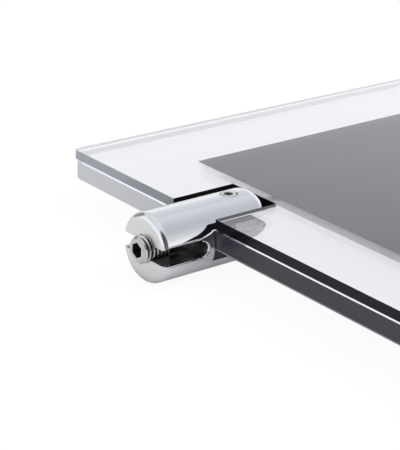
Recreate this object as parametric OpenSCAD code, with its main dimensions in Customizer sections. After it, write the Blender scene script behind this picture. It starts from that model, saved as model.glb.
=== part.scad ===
// Cable-hung LED poster frame: a clear light guide and a removable clear cover hold a poster
// between them, and four round clamps carry the panel on two power cables.
// The frame lies level, face up. X runs along the clamped edges, Y across them and Z up.
// The origin is at the middle of the frame, on the surface that the clamps rest on.

/* [Poster] */
// Length of the poster, along X
poster_l = 297; // [250:1:594]
// Width of the poster, along Y
poster_w = 210; // [148:1:420]
// Thickness of the poster sheet
poster_t = 0.25; // [0.1:0.05:0.3]
// Clear border from the poster to the edge of the panel
border = 27; // [25:0.5:60]

/* [Cover and light guide] */
// Thickness of the front cover
cover_t = 2.8; // [2:0.1:5]
// Corner radius of the front cover
cover_corner_r = 1.6; // [0.8:0.1:8]
// Air gap between the light guide and the front cover
panel_gap = 0.6; // [0.6:0.05:1.2]
// Thickness of the light guide
guide_t = 5.6; // [5:0.1:8]
// Corner radius of the light guide
guide_corner_r = 3; // [1.5:0.1:8]
// Chamfer round the lower edge of the light guide
guide_chamfer = 0.3; // [0.1:0.05:0.6]
// Distance from the corner of the panel to the middle of a clamp
clamp_inset = 59; // [40:1:90]

/* [Notches and edge seals] */
// Clearance at each side of a clamp in its notch, at the underside of the cover
notch_side_gap = 0.8; // [0.4:0.1:2]
// Clearance between the nose of a clamp and the end of its notch
notch_end_gap = 0.5; // [0.3:0.1:5]
// Thickness of the black lining in the notches
liner_t = 0.15; // [0.1:0.05:0.3]
// Thickness of the strips that seal the clamped edges
seal_t = 0.15; // [0.1:0.05:0.3]
// Bare margin below the seal of the light guide
seal_margin = 0.7; // [0.4:0.1:2]
// How far the seal of the light guide runs in under a clamp
seal_tuck = 4.5; // [2:0.5:8]

/* [Films] */
// Thickness of the diffuser film under the poster
diffuser_t = 0.2; // [0.1:0.05:0.3]
// How far the diffuser film stays back from the edges of the poster
diffuser_inset = 1; // [0.5:0.5:3]
// Thickness of the reflector film under the light guide
reflector_t = 0.25; // [0.1:0.05:0.5]

/* [Cover magnets] */
// Diameter of the magnets and of the steel discs they hold
magnet_d = 6; // [5:0.5:12]
// Thickness of a magnet
magnet_t = 2; // [1.5:0.1:3]
// Thickness of a steel disc
disc_t = 1.2; // [0.8:0.1:1.5]

/* [LED boards] */
// Distance from the edge of the poster to the slot of an LED board
led_slot_inset = 4; // [2:0.5:10]
// Width of the slot of an LED board
led_slot_w = 2.6; // [2.2:0.1:4]
// Clear acrylic left above the slot of an LED board
led_slot_roof = 1; // [0.6:0.1:2]
// Thickness of an LED board
board_t = 1; // [0.8:0.1:1.2]
// Clearance above an LED board in its slot
board_gap = 0.1; // [0.05:0.05:0.3]
// How far an LED board runs past the middle of a clamp
board_past = 13.5; // [8:0.5:20]
// Clearance at each end of an LED board
board_end_gap = 2; // [0.5:0.5:4]
// Distance between the LEDs
led_pitch = 12.5; // [8:0.5:25]
// Length of an LED, along the board
led_l = 3.5; // [2.5:0.1:5]
// Height of an LED
led_h = 2.8; // [1.4:0.1:3]
// Thickness of an LED
led_t = 0.8; // [0.5:0.1:1]
// Distance from the end of the board to the first LED
led_end = 5; // [4:0.5:10]
// Length of a chip resistor
resistor_l = 3.2; // [1.6:0.1:3.5]
// Width of a chip resistor
resistor_w = 1.6; // [0.8:0.1:2]
// Thickness of a chip resistor
resistor_t = 0.55; // [0.35:0.05:0.7]
// Number of LEDs that share a resistor
leds_per_group = 3; // [2:1:6]

/* [Conductors] */
// Width of the conductor strips
strip_w = 4; // [2:0.5:6]
// Thickness of the conductor strips
strip_t = 0.1; // [0.05:0.05:0.2]
// Distance from the edge of the panel to the start of a feed strip
strip_start = 4; // [2:0.5:6]
// Diameter of a contact pin
pin_d = 3; // [2:0.1:4]
// Diameter of the foot of a contact pin
pin_foot_d = 5; // [4.2:0.1:6]
// Thickness of the foot of a contact pin
pin_foot_t = 0.8; // [0.5:0.1:1.2]
// Clearance round a contact pin in its pad
pin_gap = 0.1; // [0.05:0.05:0.2]

/* [Clamp body] */
// Diameter of the clamp
clamp_d = 20; // [18:0.5:26]
// How far the clamp stands out from the edge of the panel
clamp_out = 17.3; // [15:0.1:22]
// How far the clamp reaches in over the panel
clamp_in = 21.1; // [18:0.1:22]
// Rounding of the outer end
end_round = 2.1; // [0.6:0.1:3]
// Rounding of the nose
nose_round = 4; // [2:0.1:7]
// Gap between the edge of the light guide and the end of the panel slot
slot_setback = 0.4; // [0.3:0.05:1]
// Wall between the panel slot and the cable seat
seat_wall = 2; // [1.2:0.1:3]
// Height of the cable slot, which is also the diameter of the cable seat
cable_slot_h = 4.6; // [4.5:0.1:5]
// Rounding of the upper lips of the cable slot
upper_lip_r = 1.2; // [0.5:0.1:1.5]
// Rounding of the lower lips of the cable slot and round its seat
lower_lip_r = 0.4; // [0.3:0.1:1]

/* [Clamp pad] */
// Thickness of the pad under the light guide
pad_t = 3.3; // [2.5:0.1:4]
// How far the pad stays back from the sides of the lower jaw
pad_side = 0.5; // [0.3:0.1:1.5]
// How far the pad stays back from the end of the panel slot
pad_back = 0.6; // [0.4:0.1:2]
// How far the pad stays back from the nose of the clamp
pad_nose = 5.6; // [5:0.1:8]

/* [Cable screw] */
// Thread diameter of the cable screw
cable_screw_d = 8; // [7:0.5:8]
// How far the cable screw stands out of the clamp
cable_screw_out = 2.2; // [1:0.1:5]
// Width across the flats of the socket in the cable screw
cable_socket_af = 4; // [3:0.5:4]
// Depth of the socket in the cable screw
cable_socket_depth = 4; // [3:0.1:4.5]
// Chamfer at the ends of the cable screw
cable_screw_chamfer = 0.8; // [0.4:0.1:1]
// Radial play of the screws in their threads
thread_play = 0.05; // [0.02:0.01:0.08]
// How far the cable screw can be driven in past its rest position
cable_screw_travel = 3; // [1:0.1:3]
// Diameter of the swivelling tip
cable_tip_d = 6.4; // [5:0.1:6.6]
// Length of the swivelling tip
cable_tip_l = 1.9; // [1.5:0.1:3]
// Length of the neck between the swivelling tip and the screw
tip_neck = 1; // [0.5:0.1:2]
// Diameter of the neck and of the pivot that holds the tip in the screw
tip_pivot_d = 2.4; // [2:0.1:2.6]
// Length of the pivot inside the screw
tip_pivot_l = 2; // [1:0.1:2.5]
// Gap between a tip and the screw that drives it
tip_gap = 0.05; // [0.03:0.01:0.1]

/* [Panel screw] */
// Thread diameter of the panel screw
panel_screw_d = 5; // [4:0.5:5]
// Distance from the edge of the panel to the panel screw
panel_screw_in = 12; // [10:0.1:13]
// How far the top of the panel screw lies below the top of the clamp
panel_screw_sink = 0.2; // [0.1:0.1:1.2]
// Chamfer round the top of the panel screw and round its hole
panel_screw_chamfer = 0.4; // [0.2:0.1:0.6]
// Width across the flats of the socket in the panel screw
panel_socket_af = 2.5; // [2:0.5:2.5]
// Depth of the socket in the panel screw
panel_socket_depth = 2; // [1.5:0.1:2]
// Diameter of the soft tip under the panel screw
panel_tip_d = 4.2; // [3:0.1:4.2]
// Thickness of the soft tip under the panel screw
panel_tip_t = 0.9; // [0.6:0.1:1.2]
// Diameter of the pivot of the soft tip
panel_pivot_d = 1.8; // [1.2:0.1:2]
// Length of the pivot of the soft tip inside the screw
panel_pivot_l = 0.8; // [0.5:0.1:0.9]

/* [Hidden] */
$fn = 96;
// Overrun of every cut past the face that it opens
over = 0.5;

panel_l = poster_l + 2 * border;
panel_w = poster_w + 2 * border;
clamp_r = clamp_d / 2;
clamp_x = panel_l / 2 - clamp_inset;

jaw_slot_h = pad_t + guide_t;
jaw_slot_half = jaw_slot_h / 2;
axis_z = clamp_r;
guide_z = axis_z - jaw_slot_half + pad_t;
guide_top_z = guide_z + guide_t;
cover_z = guide_top_z + panel_gap;

// Half the width of the clamp at a height above its own axis
function half_width(h) = sqrt(clamp_r * clamp_r - h * h);

notch_w = 2 * (half_width(cover_z - axis_z) + notch_side_gap);
notch_depth = clamp_in + notch_end_gap;

seat_r = cable_slot_h / 2;
seat_end_y = -slot_setback - seat_wall;
seat_y = seat_end_y - seat_r;
// Free length in front of the seat, with the cable screw at rest
cable_room = cable_slot_h + tip_gap;
tip_end_y = seat_end_y - cable_room;
tip_base_y = tip_end_y - cable_tip_l;
screw_end_y = tip_base_y - tip_neck;
screw_top_y = -clamp_out - cable_screw_out;
cable_screw_l = screw_end_y - screw_top_y;
bore_end_y = tip_end_y + cable_screw_travel + tip_gap;

panel_tip_z = jaw_slot_half + tip_gap;
panel_screw_z = panel_tip_z + panel_tip_t + tip_gap;
panel_screw_top = clamp_r - panel_screw_sink;
panel_screw_l = panel_screw_top - panel_screw_z;

led_slot_y = poster_w / 2 - led_slot_inset;
led_slot_h = guide_t - led_slot_roof;
board_l = 2 * (clamp_x + board_past);
board_h = led_slot_h - strip_t - board_gap;
board_face_y = led_slot_y - board_t;
led_count = floor((board_l - 2 * led_end) / led_pitch) + 1;
led_first_x = -(led_count - 1) * led_pitch / 2;

magnet_x = (panel_l - border) / 2;
magnet_y = (panel_w - border) / 2;
magnet_rise = panel_gap / 2;

// Each clamp's corner of the panel, as signs along X and Y
front_left = [-1, -1];
front_right = [1, -1];
rear_left = [-1, 1];
rear_right = [1, 1];
corners = [front_left, front_right, rear_left, rear_right];

// Placing

// Puts a clamp piece at its corner. In its own frame the clamp's axis is Y, its outer end
// points to -Y, and its origin is on the axis, level with the edge of the panel.
module at_clamp(corner) {
    translate([corner[0] * clamp_x, corner[1] * panel_w / 2, axis_z])
        rotate([0, 0, corner[1] < 0 ? 0 : 180])
            children();
}

// Repeats a piece at all four clamps
module at_clamps() {
    for (corner = corners)
        at_clamp(corner) children();
}

// Repeats a piece along the front and the rear edge, where +Y points out of the panel
module at_long_edges() {
    for (turn = [0, 180])
        rotate([0, 0, turn]) children();
}

// Repeats a piece at the middle of each border
module at_magnets() {
    for (side = [-1, 1]) {
        translate([side * magnet_x, 0, 0]) children();
        translate([0, side * magnet_y, 0]) children();
    }
}

// Shared shapes

module rounded_rect(l, w, r) {
    square([l - 2 * r, w], center = true);
    square([l, w - 2 * r], center = true);
    for (x = [-1, 1], y = [-1, 1])
        translate([x * (l / 2 - r), y * (w / 2 - r)]) circle(r);
}

module sheet(l, w, t) {
    linear_extrude(t) square([l, w], center = true);
}

// Turns a shape that stands on Z so that it points along +Y
module along_y() {
    rotate([-90, 0, 0]) children();
}

// Hexagonal key socket, cut down from the origin
module key_socket(af, depth) {
    translate([0, 0, -depth])
        cylinder(h = depth + over, d = af / cos(30), $fn = 6);
}

// Set screw with its socket at the top and a blind pivot hole in its foot
module set_screw(d, l, chamfer, af, socket_depth, pivot_d, pivot_depth) {
    r = d / 2 - thread_play;
    difference() {
        union() {
            cylinder(h = chamfer, r1 = r - chamfer, r2 = r);
            translate([0, 0, chamfer]) cylinder(h = l - 2 * chamfer, r = r);
            translate([0, 0, l - chamfer]) cylinder(h = chamfer, r1 = r, r2 = r - chamfer);
        }
        translate([0, 0, l]) key_socket(af, socket_depth);
        translate([0, 0, -over]) cylinder(h = pivot_depth + over, d = pivot_d);
    }
}

// Swivelling tip: a disc below the origin and the pivot that enters the screw above it
module swivel_tip(d, t, pivot_d, pivot_l) {
    translate([0, 0, -t]) cylinder(h = t, d = d);
    cylinder(h = pivot_l, d = pivot_d);
}

// Front cover

module cover_outline() {
    difference() {
        rounded_rect(panel_l, panel_w, cover_corner_r);
        for (corner = corners)
            translate([corner[0] * clamp_x, corner[1] * (panel_w - notch_depth + over) / 2])
                square([notch_w, notch_depth + over], center = true);
    }
}

module front_cover() {
    color("aliceblue", 0.4)
        difference() {
            translate([0, 0, cover_z]) linear_extrude(cover_t) cover_outline();
            at_magnets() translate([0, 0, cover_z - over])
                cylinder(h = disc_t - magnet_rise + over, d = magnet_d);
        }
}

module cover_discs() {
    color("silver")
        at_magnets() translate([0, 0, cover_z - magnet_rise]) cylinder(h = disc_t, d = magnet_d);
}

module notch_lining() {
    difference() {
        square([notch_w, notch_depth * 2], center = true);
        square([notch_w - 2 * liner_t, (notch_depth - liner_t) * 2], center = true);
        translate([-notch_w, -notch_depth * 2]) square([notch_w * 2, notch_depth * 2]);
    }
}

module notch_liners() {
    color("black")
        at_clamps() translate([0, 0, cover_z - axis_z]) linear_extrude(cover_t) notch_lining();
}

// Strip on the clamped edge, from the clamp on one side to the clamp on the other
module edge_seal(half_l, z, h) {
    translate([-half_l, panel_w / 2, z]) cube([2 * half_l, seal_t, h]);
}

module cover_edge_seals() {
    color("midnightblue")
        at_long_edges() edge_seal(clamp_x - notch_w / 2, cover_z, cover_t);
}

// Insert

module poster() {
    color("darkgray")
        translate([0, 0, guide_top_z + diffuser_t]) sheet(poster_l, poster_w, poster_t);
}

module diffuser_film() {
    color("white")
        translate([0, 0, guide_top_z])
            sheet(poster_l - 2 * diffuser_inset, poster_w - 2 * diffuser_inset, diffuser_t);
}

module reflector_film() {
    color("gainsboro")
        translate([0, 0, guide_z - reflector_t]) sheet(poster_l, poster_w, reflector_t);
}

// Light guide

// Section of the chamfer cut: the first number is the depth behind the edge, the second the height
chamfer_cut = [[-over, -over], [guide_chamfer + over, -over], [-over, guide_chamfer + over]];

module chamfer_along(l) {
    rotate([90, 0, -90]) linear_extrude(l, center = true) polygon(chamfer_cut);
}

module guide_chamfers() {
    for (side = [0, 180])
        rotate([0, 0, side]) {
            translate([0, -panel_w / 2, 0])
                mirror([0, 1, 0]) chamfer_along(panel_l - 2 * guide_corner_r);
            translate([-panel_l / 2, 0, 0])
                rotate([0, 0, -90]) mirror([0, 1, 0]) chamfer_along(panel_w - 2 * guide_corner_r);
        }
    for (x = [-1, 1], y = [-1, 1])
        translate([x * (panel_l / 2 - guide_corner_r), y * (panel_w / 2 - guide_corner_r), 0])
            mirror([x < 0 ? 1 : 0, 0, 0])
                mirror([0, y < 0 ? 1 : 0, 0])
                    rotate_extrude(angle = 90)
                        polygon([for (p = chamfer_cut) [guide_corner_r - p[0], p[1]]]);
}

module led_slot() {
    l = board_l + 2 * board_end_gap;
    translate([-l / 2, led_slot_y - led_slot_w, -over]) cube([l, led_slot_w, led_slot_h + over]);
}

// Strip from a clamp's contact pin in to the foot of the LED board, in the guide's underside
module feed_strip_blank(t) {
    l = panel_w / 2 - strip_start - board_face_y;
    translate([-strip_w / 2, board_face_y, 0]) cube([strip_w, l, t]);
}

// Strip from the front board to the rear board
module cross_strip_blank(t) {
    translate([0, 0, t / 2]) cube([strip_w, 2 * led_slot_y, t], center = true);
}

module at_feed_strips() {
    for (side = [-1, 1])
        at_long_edges() translate([side * clamp_x, 0, 0]) children();
}

module at_cross_strips() {
    for (side = [-1, 1])
        translate([side * (board_l / 2 - led_end), 0, 0]) children();
}

module light_guide() {
    color("lightcyan", 0.5)
        translate([0, 0, guide_z])
            difference() {
                linear_extrude(guide_t) rounded_rect(panel_l, panel_w, guide_corner_r);
                guide_chamfers();
                at_long_edges() led_slot();
                translate([0, 0, -over]) {
                    at_feed_strips() feed_strip_blank(strip_t + over);
                    at_cross_strips() cross_strip_blank(strip_t + over);
                }
                at_magnets() translate([0, 0, guide_t - magnet_t + magnet_rise])
                    cylinder(h = magnet_t + over, d = magnet_d);
            }
}

module guide_edge_seals() {
    color("dimgray")
        at_long_edges()
            edge_seal(clamp_x - seal_tuck, guide_z + seal_margin, guide_t - seal_margin);
}

module guide_magnets() {
    color("gray")
        at_magnets() translate([0, 0, guide_top_z + magnet_rise - magnet_t])
            cylinder(h = magnet_t, d = magnet_d);
}

// Lighting

module led_board() {
    translate([-board_l / 2, board_face_y, guide_z + strip_t]) cube([board_l, board_t, board_h]);
}

module led_row() {
    for (i = [0 : led_count - 1])
        translate([led_first_x + i * led_pitch, board_face_y - led_t / 2, guide_z + strip_t + board_h / 2])
            cube([led_l, led_t, led_h], center = true);
}

// One resistor stands between the first two LEDs of each group
module resistor_row() {
    for (i = [0 : leds_per_group : led_count - 2])
        translate([led_first_x + (i + 1 / 2) * led_pitch, board_face_y - resistor_t / 2,
                guide_z + strip_t + board_h / 2])
            cube([resistor_l, resistor_t, resistor_w], center = true);
}

module led_board_front() {
    color("white") rotate([0, 0, 180]) led_board();
}

module led_board_rear() {
    color("white") led_board();
}

module leds_front() {
    color("khaki") rotate([0, 0, 180]) led_row();
}

module leds_rear() {
    color("khaki") led_row();
}

module board_resistors() {
    color("black") at_long_edges() resistor_row();
}

// Conductors

module feed_strips() {
    color("goldenrod")
        translate([0, 0, guide_z]) at_feed_strips() feed_strip_blank(strip_t);
}

module cross_strips() {
    color("goldenrod")
        translate([0, 0, guide_z])
            difference() {
                at_cross_strips() cross_strip_blank(strip_t);
                at_feed_strips() feed_strip_blank(strip_t);
            }
}

// Clamp, in its own frame

// Waste outside a rounded corner whose centre is at the origin
module corner_waste(r) {
    difference() {
        square(r + over);
        circle(r);
    }
}

// Half section of the turned body: the first number is the radius, the second runs along the axis
module clamp_section() {
    difference() {
        translate([0, -clamp_out]) square([clamp_r, clamp_out + clamp_in]);
        translate([clamp_r - nose_round, clamp_in - nose_round]) corner_waste(nose_round);
        translate([clamp_r - end_round, end_round - clamp_out])
            mirror([0, 1]) corner_waste(end_round);
    }
}

module clamp_blank() {
    along_y() rotate_extrude() clamp_section();
}

// Slot that takes the edge of the light guide and the pad
module panel_slot() {
    translate([-clamp_r - over, -slot_setback, -jaw_slot_half])
        cube([2 * (clamp_r + over), slot_setback + clamp_in + over, jaw_slot_h]);
}

// Section of the cut that rounds a lip: the first number is the distance from the slot's
// middle plane, the second the distance from the clamp's axis
module lip_section(r) {
    centre = half_width(seat_r + r) - r;
    difference() {
        translate([0, centre]) square([seat_r + r, r + 2 * over]);
        translate([seat_r + r, centre]) circle(r);
    }
}

// Rounding of the slot's mouth on the side that faces +X
module slot_mouth() {
    l = seat_y + clamp_out + over;
    for (lip = [[0, upper_lip_r], [1, lower_lip_r]])
        mirror([0, 0, lip[0]])
            translate([0, seat_y - l, 0])
                rotate([-90, -90, 0]) linear_extrude(l) lip_section(lip[1]);
    translate([0, seat_y, 0]) rotate([0, 90, 0]) rotate_extrude() lip_section(lower_lip_r);
}

// Slot that the cable lies across, closed by the round seat
module cable_slot() {
    translate([-clamp_r - over, -clamp_out - over, -seat_r])
        cube([2 * (clamp_r + over), clamp_out + over + seat_y, cable_slot_h]);
    translate([-clamp_r - over, seat_y, 0])
        rotate([0, 90, 0]) cylinder(h = 2 * (clamp_r + over), r = seat_r);
    slot_mouth();
    mirror([1, 0, 0]) slot_mouth();
}

module cable_screw_bore() {
    translate([0, -clamp_out - over, 0])
        along_y() cylinder(h = clamp_out + over + bore_end_y, d = cable_screw_d);
}

module panel_screw_bore() {
    sink_r = panel_screw_d / 2 + panel_screw_chamfer;
    translate([0, panel_screw_in, 0]) {
        cylinder(h = clamp_r + over, d = panel_screw_d);
        translate([0, 0, clamp_r - 2 * panel_screw_chamfer])
            cylinder(h = 2 * panel_screw_chamfer + over, r1 = sink_r - 2 * panel_screw_chamfer,
                r2 = sink_r + over);
    }
}

module clamp_body() {
    color("gainsboro")
        difference() {
            clamp_blank();
            panel_slot();
            cable_slot();
            cable_screw_bore();
            panel_screw_bore();
        }
}

module cable_screw() {
    color("lightgray")
        translate([0, screw_end_y, 0])
            rotate([90, 0, 0])
                set_screw(cable_screw_d, cable_screw_l, cable_screw_chamfer, cable_socket_af,
                    cable_socket_depth, tip_pivot_d + 2 * tip_gap, tip_pivot_l + tip_gap);
}

module cable_tip() {
    color("darkgray")
        translate([0, tip_base_y, 0])
            rotate([90, 0, 0])
                swivel_tip(cable_tip_d, cable_tip_l, tip_pivot_d, tip_neck + tip_pivot_l);
}

module panel_screw() {
    color("darkgray")
        translate([0, panel_screw_in, panel_screw_z])
            set_screw(panel_screw_d, panel_screw_l, panel_screw_chamfer, panel_socket_af,
                panel_socket_depth, panel_pivot_d + 2 * tip_gap, panel_pivot_l + tip_gap);
}

module panel_tip() {
    color("white")
        translate([0, panel_screw_in, panel_tip_z + panel_tip_t])
            swivel_tip(panel_tip_d, panel_tip_t, panel_pivot_d, tip_gap + panel_pivot_l);
}

module clamp_pad() {
    pad_w = 2 * (half_width(jaw_slot_half) - pad_side);
    pad_start = pad_back - slot_setback;
    pad_end = clamp_in - pad_nose;
    translate([0, 0, -jaw_slot_half])
        difference() {
            translate([-pad_w / 2, pad_start, 0]) cube([pad_w, pad_end - pad_start, pad_t]);
            translate([0, panel_screw_in, -over]) {
                cylinder(h = pad_t + 2 * over, d = pin_d + 2 * pin_gap);
                cylinder(h = pin_foot_t + pin_gap + over, d = pin_foot_d + 2 * pin_gap);
            }
        }
}

module contact_pin() {
    translate([0, panel_screw_in, -jaw_slot_half]) {
        cylinder(h = pin_foot_t, d = pin_foot_d);
        cylinder(h = pad_t, d = pin_d);
    }
}

module clamp_pads() {
    color("dimgray") at_clamps() clamp_pad();
}

module contact_pins() {
    color("gold") at_clamps() contact_pin();
}

front_cover();
cover_edge_seals();
notch_liners();
cover_discs();
poster();
diffuser_film();
light_guide();
reflector_film();
guide_edge_seals();
guide_magnets();
led_board_front();
led_board_rear();
leds_front();
leds_rear();
board_resistors();
feed_strips();
cross_strips();
clamp_pads();
contact_pins();
at_clamp(front_left) clamp_body();  // clamp_body_front_left
at_clamp(front_right) clamp_body();  // clamp_body_front_right
at_clamp(rear_left) clamp_body();  // clamp_body_rear_left
at_clamp(rear_right) clamp_body();  // clamp_body_rear_right
at_clamp(front_left) cable_screw();  // cable_screw_front_left
at_clamp(front_right) cable_screw();  // cable_screw_front_right
at_clamp(rear_left) cable_screw();  // cable_screw_rear_left
at_clamp(rear_right) cable_screw();  // cable_screw_rear_right
at_clamp(front_left) cable_tip();  // cable_tip_front_left
at_clamp(front_right) cable_tip();  // cable_tip_front_right
at_clamp(rear_left) cable_tip();  // cable_tip_rear_left
at_clamp(rear_right) cable_tip();  // cable_tip_rear_right
at_clamp(front_left) panel_screw();  // panel_screw_front_left
at_clamp(front_right) panel_screw();  // panel_screw_front_right
at_clamp(rear_left) panel_screw();  // panel_screw_rear_left
at_clamp(rear_right) panel_screw();  // panel_screw_rear_right
at_clamp(front_left) panel_tip();  // panel_tip_front_left
at_clamp(front_right) panel_tip();  // panel_tip_front_right
at_clamp(rear_left) panel_tip();  // panel_tip_rear_left
at_clamp(rear_right) panel_tip();  // panel_tip_rear_right
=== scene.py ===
"""Looks of the lit poster frame: finishes, detailed pieces, camera and studio.

Sizes are in millimetres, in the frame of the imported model, unless metres are named. A mesh
and a material get metres when they are made.
"""

import logging
import math
from dataclasses import dataclass, field
from enum import Enum
from typing import Any, Callable, Sequence

import bpy
from mathutils import Matrix, Vector


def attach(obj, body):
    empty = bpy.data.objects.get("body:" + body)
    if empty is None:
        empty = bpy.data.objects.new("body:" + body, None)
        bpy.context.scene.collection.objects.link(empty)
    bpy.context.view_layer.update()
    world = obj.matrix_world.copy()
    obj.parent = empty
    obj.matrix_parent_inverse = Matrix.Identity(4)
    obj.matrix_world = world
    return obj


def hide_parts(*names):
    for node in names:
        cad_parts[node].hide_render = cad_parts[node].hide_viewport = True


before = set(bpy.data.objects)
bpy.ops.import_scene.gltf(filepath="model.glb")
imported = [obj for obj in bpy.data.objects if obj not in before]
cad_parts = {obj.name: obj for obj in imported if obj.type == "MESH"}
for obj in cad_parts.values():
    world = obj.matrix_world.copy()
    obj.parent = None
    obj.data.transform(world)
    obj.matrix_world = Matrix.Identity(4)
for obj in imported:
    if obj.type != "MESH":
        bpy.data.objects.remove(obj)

LOG = logging.getLogger("poster_frame")
MM = 0.001
# The axis of each clamp, along X and Z.
CLAMP_X, CLAMP_Z = 116.5, 10.0
# A face looks along an axis where at least this much of its normal does, and a wall is
# upright where no more of its normal than this points up or down.
FACE_ON, UPRIGHT = 0.9, 0.5
# Points closer than this are one.
DOUBLE = 0.0005
# Nearly all of a noise's values lie between these.
NOISE_LOW, NOISE_HIGH = 0.3, 0.7

Point = tuple[float, float, float]
Node, Tree, Piece = bpy.types.Node, bpy.types.NodeTree, bpy.types.Object
Socket = bpy.types.NodeSocket
Source = Node | Socket


# Materials


def linear(code: str) -> tuple[float, ...]:
    """Turns an sRGB hex colour to linear.

    Args:
        code: The colour, such as "#C4C5C7".

    Returns:
        The linear colour, opaque.
    """
    parts = [int(code[i:i + 2], 16) / 255 for i in (1, 3, 5)]
    return (*[c / 12.92 if c <= 0.04045 else ((c + 0.055) / 1.055) ** 2.4 for c in parts], 1.0)


def add_node(tree: Tree, kind: str, links: dict[str, Source] | Sequence[Source] = (),
             settings: dict[str | int, Any] | None = None) -> Node:
    """Adds a node with its settings and links.

    Args:
        tree: The node tree that gets the node.
        kind: The node's type name, without the "ShaderNode" that all of them start with,
            and after a colon its operation, if it has one.
        links: What feeds the inputs, by name or in their order: an output, or a node for
            its first output.
        settings: Values by input. "stops" gives a colour ramp's stops, as a hex colour or
            a linear one by place.

    Returns:
        The new node.
    """
    kind, _, operation = kind.partition(":")
    node = tree.nodes.new("ShaderNode" + kind)
    if operation:
        node.operation = operation
    for name, value in (settings or {}).items():
        if name == "stops":
            ramp = node.color_ramp
            while len(ramp.elements) < len(value):
                ramp.elements.new(0.5)
            for element, (place, colour) in zip(ramp.elements, value.items()):
                element.position = place
                element.color = linear(colour) if isinstance(colour, str) else colour
        else:
            node.inputs[name].default_value = value
    named = links if isinstance(links, dict) else dict(enumerate(links))
    for name, source in named.items():
        socket = source.outputs[0] if isinstance(source, Node) else source
        tree.links.new(socket, node.inputs[name])
    return node


@dataclass(frozen=True)
class Finish:
    """A finish of one real material. Subclasses give its surface.

    Attributes:
        name: The material's name, and how its surface was made.
        slot: The material slot of the record that it dresses; not used.
    """

    name: str
    slot: str

    def surface(self, tree: Tree) -> Node:
        """Adds the shader nodes and returns the last one."""
        raise NotImplementedError

    def material(self) -> bpy.types.Material:
        """Makes the finish's material, the first time that it is asked for.

        Returns:
            The material.
        """
        known = bpy.data.materials.get(self.name)
        if known:
            return known
        made = bpy.data.materials.new(self.name)
        made.use_nodes = True
        tree = made.node_tree
        tree.nodes.clear()
        add_node(tree, "OutputMaterial", [self.surface(tree)])
        return made

    def grain(self, tree: Tree, size: float, detail: float = 3.0,
              stretch: Point = (1.0, 1.0, 1.0)) -> Node:
        """Adds noise in object coordinates.

        Args:
            tree: The node tree.
            size: The size of a grain.
            detail: The noise's detail.
            stretch: How much finer the grain is along each axis.

        Returns:
            The noise node.
        """
        place = add_node(tree, "TexCoord").outputs["Object"]
        turned = add_node(tree, "Mapping", {"Vector": place}, {"Scale": stretch})
        return add_node(tree, "TexNoise", {"Vector": turned},
                        {"Scale": 1 / (size * MM), "Detail": detail})

    def varied(self, tree: Tree, noise: Node, mean: float, spread: float) -> Node:
        """Adds a value that follows the noise, up to a share of its mean away from it."""
        return add_node(tree, "MapRange", {"Value": noise},
                        {"From Min": NOISE_LOW, "From Max": NOISE_HIGH,
                         "To Min": mean * (1 - spread), "To Max": mean * (1 + spread)})

    def relieved(self, tree: Tree, links: dict[str, Source], settings: dict[str, Any],
                 height: Node, depth: float, strength: float = 0.3) -> Node:
        """Adds a shader with a fine relief.

        Args:
            tree: The node tree.
            links: What feeds the shader's inputs.
            settings: The shader's settings.
            height: The node that gives the relief.
            depth: How deep the relief is.
            strength: How strongly the relief shows.

        Returns:
            The shader node.
        """
        relief = add_node(tree, "Bump", {"Height": height},
                          {"Strength": strength, "Distance": depth * MM})
        return add_node(tree, "BsdfPrincipled", {**links, "Normal": relief}, settings)

    def from_middle(self, tree: Tree) -> Node:
        """Adds the distance from the middle of the frame along each axis."""
        return add_node(tree, "VectorMath:ABSOLUTE",
                        [add_node(tree, "TexCoord").outputs["Object"]])

    def from_clamp_axis(self, tree: Tree) -> Socket:
        """Adds the distance from the nearest clamp's axis.

        Args:
            tree: The node tree.

        Returns:
            The distance's socket.
        """
        arm = add_node(tree, "VectorMath:SUBTRACT", [self.from_middle(tree)],
                       {1: (CLAMP_X * MM, 0.0, CLAMP_Z * MM)})
        across = add_node(tree, "VectorMath:MULTIPLY", [arm], {1: (1.0, 0.0, 1.0)})
        return add_node(tree, "VectorMath:LENGTH", [across]).outputs["Value"]

    def facing_up(self, tree: Tree) -> Node:
        """Adds how much of the normal points up or down."""
        facing = add_node(tree, "SeparateXYZ", [add_node(tree, "TexCoord").outputs["Normal"]])
        return add_node(tree, "Math:ABSOLUTE", [facing.outputs["Z"]])


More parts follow.
